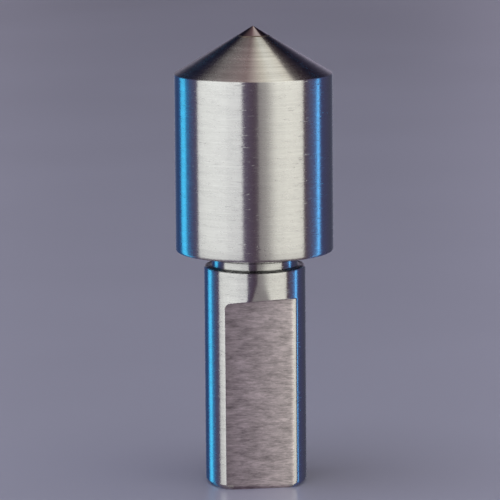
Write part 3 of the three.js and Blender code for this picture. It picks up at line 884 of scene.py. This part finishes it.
def place_balls(name):
    for i in range(1, BALLS + 1):
        low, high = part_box(f"{name}_{i}")
        centre = [(a + b) / 2 / MM for a, b in zip(low, high)]
        points, faces = ball_points(centre, BALL_RADIUS)
        finish_node(f"{name}_{i}", make_mesh(f"{name}_{i}_finished", points, faces), ball_steel)


# %% Both bearings
fixed_bore = journal_radius + FIT  # bore of every piece that is clamped on the spindle
head_fit = bore_radius - FIT  # outer radius of every ring that sits in the head
for bearing in ("lower", "upper"):
    inner_ring, outer_ring, cage = (f"{bearing}_{part}" for part in ("inner_ring", "outer_ring", "cage"))
    middle_z = (bottom(inner_ring) + top(inner_ring)) / 2
    finish_node(inner_ring, race_mesh(inner_ring, fixed_bore, PITCH_RADIUS - SHOULDER, True), race_steel)
    finish_node(outer_ring, race_mesh(outer_ring, PITCH_RADIUS + SHOULDER, head_fit, False), race_steel)
    for side, inwards in (("bottom", 1), ("top", -1)):
        node = f"{bearing}_{side}_shield"
        finish_node(node, shield_mesh(node, inwards), zinc)
    finish_node(cage, crown_mesh(cage, middle_z), cage_nylon)
    place_balls(f"{bearing}_ball")
    print(bearing, "bearing at", round(middle_z, 2), "mm")

# %% [markdown]
# ## Spacer, wave spring and lock nut
# A spacer keeps the two inner rings apart. Between the outer rings a wave spring pushes them away
# from each other, which takes the play out of both bearings. Above them a round nut with four
# slots, for a hook spanner, clamps the inner rings down on the spindle's shoulder.

# %% Spacer
def collar(node, inner, outer, size):
    low, high = bottom(node), top(node)
    outline = rounded([(inner, low), (outer, low), (outer, high), (inner, high)], size)
    return turned(f"{node}_finished", outline, INNER)


finish_node("inner_spacer", collar("inner_spacer", fixed_bore, PITCH_RADIUS - SHOULDER, 0.1), zinc)

# %% Wave spring
WIRE = 0.3
WAVES = 3


def spring_mesh():
    low, high = bottom("wave_spring"), top("wave_spring")
    middle, rise = (low + high) / 2, (high - low - WIRE) / 2
    inner, outer = PITCH_RADIUS + SHOULDER + 0.15, radius("wave_spring")
    lower, upper = middle - WIRE / 2, middle + WIRE / 2
    strip = [(inner, lower), (outer, lower), (outer, upper), (inner, upper)]
    rings = ring_points(rounded(strip, 0.06), INNER)
    rings[..., 2] += rise * np.cos(WAVES * np.arctan2(rings[..., 1], rings[..., 0]))
    points, faces = skin(rings, closed=True)
    return make_mesh("wave_spring_finished", points, faces)


finish_node("wave_spring", spring_mesh(), spring)

# %% Lock nut
SLOTS = 4
SLOT_WIDTH = 1.6
SLOT_DEPTH = 0.9


def nut_mesh():
    low, high, outer = bottom("lock_nut"), top("lock_nut"), radius("lock_nut")
    slot = (2 * SLOT_DEPTH, SLOT_WIDTH, high - low + 1)
    slots = [block_points((outer, 0, (low + high) / 2), slot, angle) for angle in around(SLOTS)]
    return carved(collar("lock_nut", fixed_bore, outer, 0.2), slots)


finish_node("lock_nut", nut_mesh(), black_oxide)

# %% [markdown]
# ## The thrust bearing
# The push of the tailstock comes down through the head's floor. Nine balls in a flat brass cage
# run between two washers, each with a shallow groove: the lower one stands on the nut and stays
# still, and the upper one turns with the head.

# %% Washers, cage and balls
thrust_middle = (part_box("thrust_cage")[0][2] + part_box("thrust_cage")[1][2]) / 2 / MM


def washer_mesh(node, inner, outer, groove_up):
    low, high = bottom(node), top(node)
    blank = rounded([(inner, low), (outer, low), (outer, high), (inner, high)], 0.12)
    if groove_up:  # its top face carries the groove
        half = math.degrees(math.acos((thrust_middle - high) / GROOVE_RADIUS))
        place = next(i for i, (r, z) in enumerate(blank) if z > high - 1e-6 and r < PITCH_RADIUS)
        outline = blank[:place] + groove(thrust_middle, 270 + half, 270 - half) + blank[place:]
    else:
        half = math.degrees(math.acos((low - thrust_middle) / GROOVE_RADIUS))
        place = next(i for i, (r, z) in enumerate(blank) if abs(z - low) < 1e-6 and r > PITCH_RADIUS)
        outline = blank[:place] + groove(thrust_middle, 90 + half, 90 - half) + blank[place:]
    return turned(f"{node}_finished", outline, INNER)


for node, outer, groove_up in (("thrust_lower_washer", radius("thrust_lower_washer"), True),
                               ("thrust_upper_washer", head_fit, False)):
    finish_node(node, washer_mesh(node, fixed_bore, outer, groove_up), race_steel)
flat_cage = collar("thrust_cage", PITCH_RADIUS - 1.5, PITCH_RADIUS + 1.5, 0.12)
flat_cage_z = (bottom("thrust_cage") + top("thrust_cage")) / 2
finish_node("thrust_cage", carved(flat_cage, pockets(flat_cage_z)), cage_brass)
place_balls("thrust_ball")
print("thrust bearing", round(top("thrust_upper_washer") - bottom("thrust_lower_washer"), 2), "mm tall")

# %% [markdown]
# ## Floor, air and lights
# The floor is a plain pale sheet. Polished metal shows its surroundings rather than itself, so the
# lights are chosen for what they look like in the steel: a broad soft box on the left, one on the
# right that fades towards the camera, and a slim blue strip behind each side, which draws the
# cylinder's edges. The gap between the boxes makes the dark line. These light the steel alone,
# because diffuse rays don't see them. A square light overhead lights the floor alone, because
# glossy rays don't see it, and it leaves a soft shadow round the foot.

# %% Floor
def floor_material():
    material, tree = new_material("pale studio sheet")
    place = add(tree, "ShaderNodeTexCoord").outputs["Object"]
    mottle = add(tree, "ShaderNodeTexNoise", {"Scale": 14.0, "Detail": 2.0}, Vector=place)
    shade = add(tree, "ShaderNodeMapRange",
                {"From Min": 0.3, "From Max": 0.7, "To Min": 0.97, "To Max": 1.03},
                Value=mottle.outputs["Fac"])
    tone = add(tree, "ShaderNodeMix",
               {"data_type": "RGBA", "blend_type": "MULTIPLY", "0": 1.0, "6": colour("B2B6CA")},
               _7=shade.outputs[0])
    surface = add(tree, "ShaderNodeBsdfPrincipled", {"Roughness": 0.28, "Specular IOR Level": 0.35},
                  Base_Color=tone.outputs["Result"])
    add(tree, "ShaderNodeOutputMaterial", Surface=surface.outputs["BSDF"])
    return material


def make_floor(size=4.0):
    corners = [(-size, -size, 0), (size, -size, 0), (size, size, 0), (-size, size, 0)]
    mesh = bpy.data.meshes.new("floor")
    mesh.from_pydata(corners, [], [(0, 1, 2, 3)])
    mesh.materials.append(floor_material())
    floor = bpy.data.objects.new("floor", mesh)
    bpy.context.scene.collection.objects.link(floor)
    floor.visible_glossy = False
    floor.visible_shadow = False


make_floor()

# %% An area light, and one that is placed by what it fills as seen from the object
LIGHT_DISTANCE = 450 * MM
middle = Vector((0, 0, mouth_z * MM))


def area_light(name, place, facing, width, height, radiance, hex_code):
    """A rectangular light that shines against facing. radiance is how bright its face looks."""
    data = bpy.data.lights.new(name, "AREA")
    data.shape = "RECTANGLE"
    data.size, data.size_y = width, height
    data.energy = radiance * math.pi * width * height
    data.color = colour(hex_code)[:3]
    light = bpy.data.objects.new(name, data)
    turn = facing.to_track_quat("Z", "Y").to_matrix().to_4x4()
    light.matrix_world = Matrix.Translation(place) @ turn
    light.visible_camera = False
    bpy.context.scene.collection.objects.link(light)
    return light


def soft_box(name, start, end, elevations, radiance, hex_code):
    """An upright light that fills the azimuths from start to end, and two elevations, in degrees.

    Azimuths count from the camera, positive to its right."""
    facing = outward(CAMERA_AZIMUTH + math.radians((start + end) / 2), 0)
    foot, head = (LIGHT_DISTANCE * math.tan(math.radians(angle)) for angle in elevations)
    place = middle + facing * LIGHT_DISTANCE + Vector((0, 0, (foot + head) / 2))
    width = 2 * LIGHT_DISTANCE * math.tan(math.radians(end - start) / 2)
    light = area_light(name, place, facing, width, head - foot, radiance, hex_code)
    light.visible_diffuse = False  # it lights the steel alone


# %% Soft boxes
BOX_HEIGHT = (-22, 58)
STRIP_HEIGHT = (-36, 6)
soft_box("left_box", -89, -16.6, BOX_HEIGHT, 1.28, "FCFFFA")
for i, start in enumerate((-86, -78), 1):
    soft_box(f"left_glow_{i}", start, -40, BOX_HEIGHT, 0.05, "FCFFFA")
# The right box fades to its left: it is seven boxes with one right side, each narrower than the last.
FADE = [(6.5, 0.34), (12, 0.09), (18, 0.18), (23, 0.24), (28, 0.24), (33, 0.14), (46, 0.07)]
for i, (start, radiance) in enumerate(FADE, 1):
    soft_box(f"right_box_{i}", start, 76.2, BOX_HEIGHT, radiance, "FFFFF4")
soft_box("left_strip", -132, -117, STRIP_HEIGHT, 1.50, "48CCF8")
soft_box("left_strip_glow", -140, -107, STRIP_HEIGHT, 0.50, "0A5CA0")
soft_box("right_strip", 104, 110.5, STRIP_HEIGHT, 2.25, "58B8F8")
soft_box("right_strip_glow", 98, 116, STRIP_HEIGHT, 0.40, "0A5CA0")

# %% A square light for the floor alone, above the object and a little to its left
OVERHEAD_SIZE = 0.8
OVERHEAD_DISTANCE = 1.2
towards_overhead = outward(CAMERA_AZIMUTH + math.radians(-60), math.radians(79))
overhead = area_light("overhead", towards_overhead * OVERHEAD_DISTANCE, towards_overhead,
                      OVERHEAD_SIZE, OVERHEAD_SIZE, 2.7, "F0F5FF")
overhead.visible_glossy = False
print(len(bpy.data.lights), "lights")

# %% [markdown]
# The air is a dim room, and it is laid out by what it does on the steel: each part of it is named
# by the direction that a surface has to face to show it to the camera. That direction is halfway
# between the ray and the camera's own, so the two are added. Surfaces that stand upright see a
# purple and navy room. Surfaces that face up, like the cone, see a dim warm ceiling that ends in a
# bright panel, and almost nothing on either side. Each part's edges follow one azimuth, so the
# smear of the grooves runs along them and leaves them crisp.

# %% Air
SLOPED = (0.50, 0.60)  # how steeply a surface faces up, as its normal's Z, when the ceiling takes over
LEVEL = (0.965, 0.98)  # and when it faces straight up and sees only the dark above


def dim_room():
    world = bpy.data.worlds.new("dim room")
    world.use_nodes = True
    tree = world.node_tree
    direction = add(tree, "ShaderNodeTexCoord").outputs["Generated"]
    from_camera = add(tree, "ShaderNodeVectorRotate", {"rotation_type": "Z_AXIS", "Angle": -CAMERA_AZIMUTH},
                      Vector=direction)
    halfway = add(tree, "ShaderNodeVectorMath", {"1": (0, -math.cos(CAMERA_PITCH), math.sin(CAMERA_PITCH))},
                  _0=from_camera.outputs[0])
    facing = add(tree, "ShaderNodeVectorMath", {"operation": "NORMALIZE"}, _0=halfway.outputs[0])
    part = add(tree, "ShaderNodeSeparateXYZ", Vector=facing.outputs[0])
    towards = add(tree, "ShaderNodeMath", {"operation": "MULTIPLY", "1": -1.0}, _0=part.outputs["Y"])
    azimuth = add(tree, "ShaderNodeMath", {"operation": "ARCTAN2"},
                  _0=part.outputs["X"], _1=towards.outputs[0])
    share = add(tree, "ShaderNodeMapRange", {"From Min": -math.pi / 2, "From Max": math.pi / 2},
                Value=azimuth.outputs[0])

    def ramp(stops):
        """Colours along the azimuth, from (degrees, hex) stops."""
        node = add(tree, "ShaderNodeValToRGB", Fac=share.outputs[0])
        while len(node.color_ramp.elements) < len(stops):
            node.color_ramp.elements.new(1.0)
        for element, (degrees, hex_code) in zip(node.color_ramp.elements, stops):
            element.position = (degrees + 90) / 180
            element.color = colour(hex_code)
        return node

    upright = ramp([(-90, "A4A8B8"), (-83, "525F84"), (-75, "344A76"), (-57, "38507E"), (-52, "50567C"),
                    (-46, "605874"), (-42, "5C4E62"), (-8, "6A5E76"), (-4, "61556A"), (0, "574859"),
                    (3, "665A66"), (40, "604F5C"), (44, "605C78"), (49, "5C5E86"), (60, "4A4E74"),
                    (66, "4C4C68"), (75, "484A5C"), (83, "5A5C70"), (90, "A4A8B8")])
    ceiling = ramp([(-90, "74707E"), (-72, "2C2A38"), (-56, "1C1B2A"), (-47, "2A2632"), (-38, "4E4448"),
                    (-20, "7A686A"), (-6, "967F80"), (0, "C3B2AE"), (8, "ECE3D6"), (16, "FFFBF2"),
                    (28, "F4ECE0"), (30, "E0D6CC"), (32, "5C5053"), (40, "3C3137"), (52, "150F18"),
                    (62, "262230"), (74, "4A4656"), (90, "8E889A")])
    sloped = add(tree, "ShaderNodeMapRange", {"From Min": SLOPED[0], "From Max": SLOPED[1]},
                 Value=part.outputs["Z"])
    level = add(tree, "ShaderNodeMapRange", {"From Min": LEVEL[0], "From Max": LEVEL[1]},
                Value=part.outputs["Z"])
    air = add(tree, "ShaderNodeMix", {"data_type": "RGBA"}, Factor=sloped.outputs[0], _6=upright.outputs[0],
              _7=ceiling.outputs[0])
    air = add(tree, "ShaderNodeMix", {"data_type": "RGBA", "7": colour("1C181F")}, Factor=level.outputs[0],
              _6=air.outputs["Result"])
    strength = add(tree, "ShaderNodeMapRange",
                   {"From Min": SLOPED[0], "From Max": SLOPED[1], "To Min": 1.07, "To Max": 1.32},
                   Value=part.outputs["Z"])
    tree.links.new(strength.outputs[0], tree.nodes["Background"].inputs["Strength"])
    tree.links.new(air.outputs["Result"], tree.nodes["Background"].inputs["Color"])
    bpy.context.scene.world = world


dim_room()
bpy.context.scene.view_settings.view_transform = "Standard"

# %% [markdown]
# ## Last lines

# %% Finish
bpy.context.view_layer.update()
